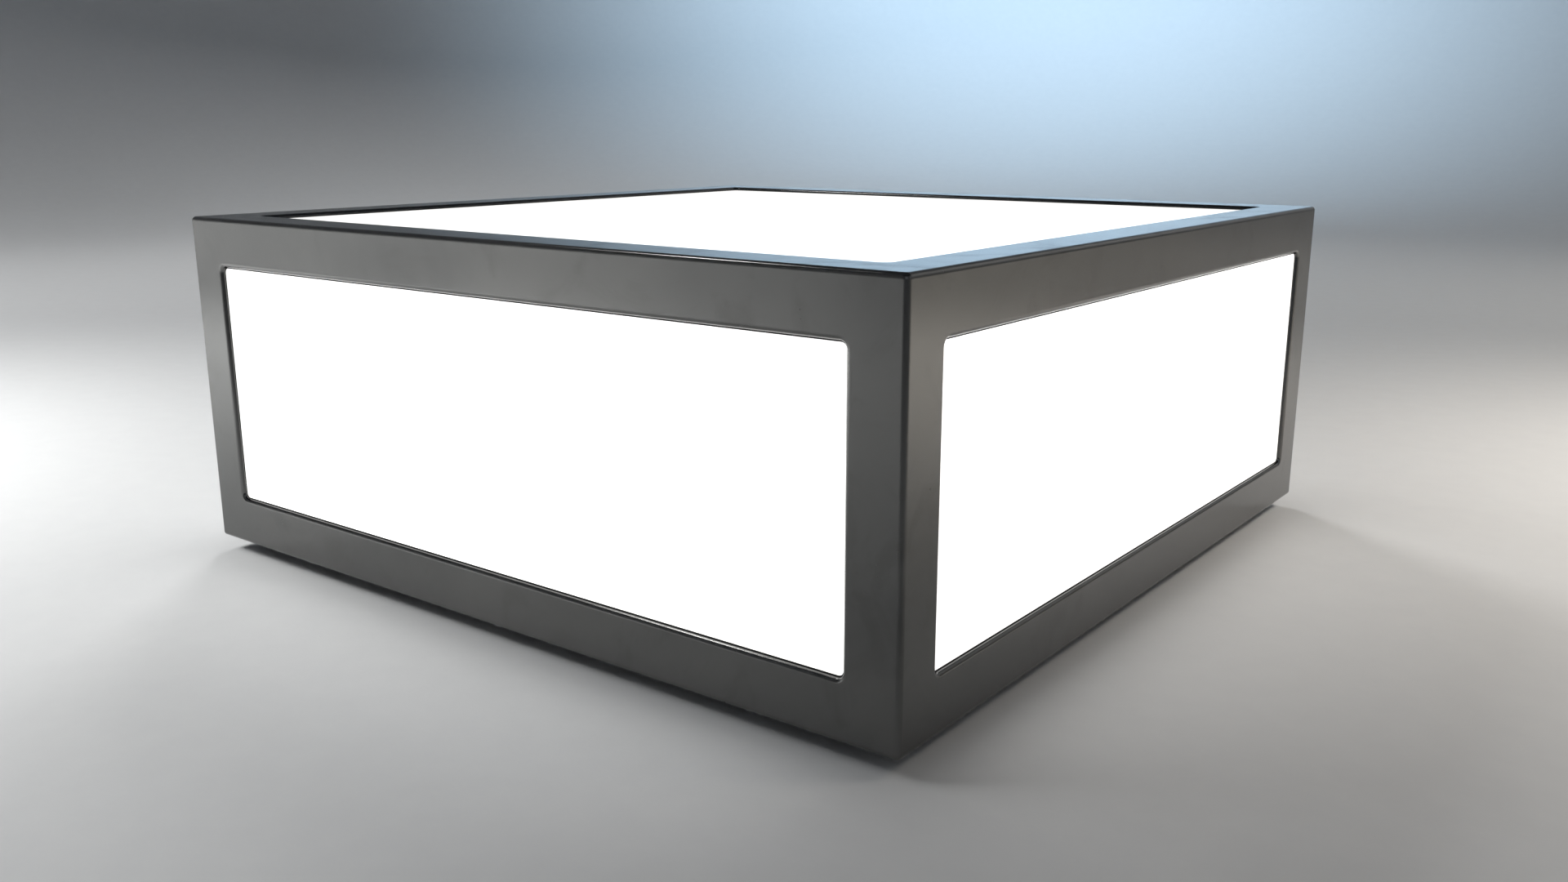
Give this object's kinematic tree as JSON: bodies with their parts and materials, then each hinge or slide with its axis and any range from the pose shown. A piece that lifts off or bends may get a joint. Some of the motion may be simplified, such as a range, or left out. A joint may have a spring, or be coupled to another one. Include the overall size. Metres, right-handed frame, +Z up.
{
  "type": "illuminated display box",
  "caption": "Free-standing square light box: dark metal cage with rolled window lips, lit opal panels on four sides and top, and a rear service door.",
  "frame": {"origin": "on the floor under the middle of the square plan", "axes": "+Z up; front panel towards -Y, service door towards +Y, mains inlet and switch in the -X side"},
  "size_m": [0.6031, 0.6027, 0.246],
  "materials": {
    "frame": "black nickel plate over ground steel, polished, faint handling haze",
    "opal": "opal acrylic, lit from behind, gloss skin",
    "foam": "closed-cell foam strip",
    "zinc": "bright zinc plate",
    "steel_screw": "plated steel",
    "latch": "satin chrome over die-cast zinc",
    "nylon": "natural nylon",
    "base_paint": "fine texture powder coat",
    "white_paint": "white powder coat, semi-gloss",
    "board": "white solder mask on aluminium board",
    "phosphor": "LED phosphor in a white cup",
    "lens": "moulded clear acrylic",
    "driver_case": "clear anodised",
    "brass": "nickel-free turned brass",
    "black_plastic": "moulded nylon, fine spark texture",
    "rubber": "moulded rubber",
    "lead_skin": "PVC lead insulation"
  },
  "bodies": {
    "housing": {"top_ring": "frame", "corner_posts": "frame", "bottom_ring": "frame", "front_diffuser": "opal", "left_diffuser": "opal", "right_diffuser": "opal", "top_diffuser": "opal", "front_gasket": "foam", "left_gasket": "foam", "right_gasket": "foam", "top_gasket": "foam", "door_seal": "foam", "front_clamp_frame": "zinc", "left_clamp_frame": "zinc", "right_clamp_frame": "zinc", "top_clamp_frame": "zinc", "weld_studs": "zinc", "clamp_nuts": "zinc", "rivet_nuts": "zinc", "foot_washers": "zinc", "foot_nuts": "zinc", "earth_lug": "zinc", "base_screws": "steel_screw", "foot_screws": "steel_screw", "carrier_screws": "steel_screw", "board_screws": "steel_screw", "driver_screws": "steel_screw", "hinge_pins": "steel_screw", "terminal_block": "nylon", "lead_clips": "nylon", "base_plate": "base_paint", "led_carrier": "white_paint", "side_led_boards": "board", "top_led_boards": "board", "led_chips": "phosphor", "led_lenses": "lens", "led_driver": "driver_case", "terminal_screws": "brass", "earth_stud": "brass", "earth_nuts": "brass", "inlet_pins": "brass", "switch_tabs": "brass", "inlet_socket": "black_plastic", "switch_body": "black_plastic", "rubber_feet": "rubber", "grommet": "rubber", "inner_leads": "lead_skin"},
    "rear_door": {"door_frame": "frame", "rear_diffuser": "opal", "rear_gasket": "foam", "rear_clamp_frame": "zinc", "door_studs": "zinc", "door_clamp_nuts": "zinc", "hinge_bushes": "nylon", "latch_bushes": "latch"},
    "switch_rocker": {"switch_rocker": "black_plastic"},
    "upper_latch": {"upper_latch_core": "latch", "upper_latch_cam": "steel_screw"},
    "lower_latch": {"lower_latch_core": "latch", "lower_latch_cam": "steel_screw"}
  },
  "joints": [
    {"name": "door_hinge", "type": "hinge", "parent": "housing", "child": "rear_door", "pos_m": [-0.286, 0.2955, 0.128], "axis": [0, 0, 1], "range_deg": [0, 100]},
    {"name": "upper_latch_turn", "type": "hinge", "parent": "rear_door", "child": "upper_latch", "pos_m": [0.2805, 0.3, 0.175], "axis": [0, -1, 0], "range_deg": [0, 90]},
    {"name": "lower_latch_turn", "type": "hinge", "parent": "rear_door", "child": "lower_latch", "pos_m": [0.2805, 0.3, 0.081], "axis": [0, -1, 0], "range_deg": [0, 90]},
    {"name": "rocker_tilt", "type": "hinge", "parent": "housing", "child": "switch_rocker", "pos_m": [-0.3, 0.13, 0.025], "axis": [0, 0, 1], "range_deg": [-18, 0]}
  ]
}
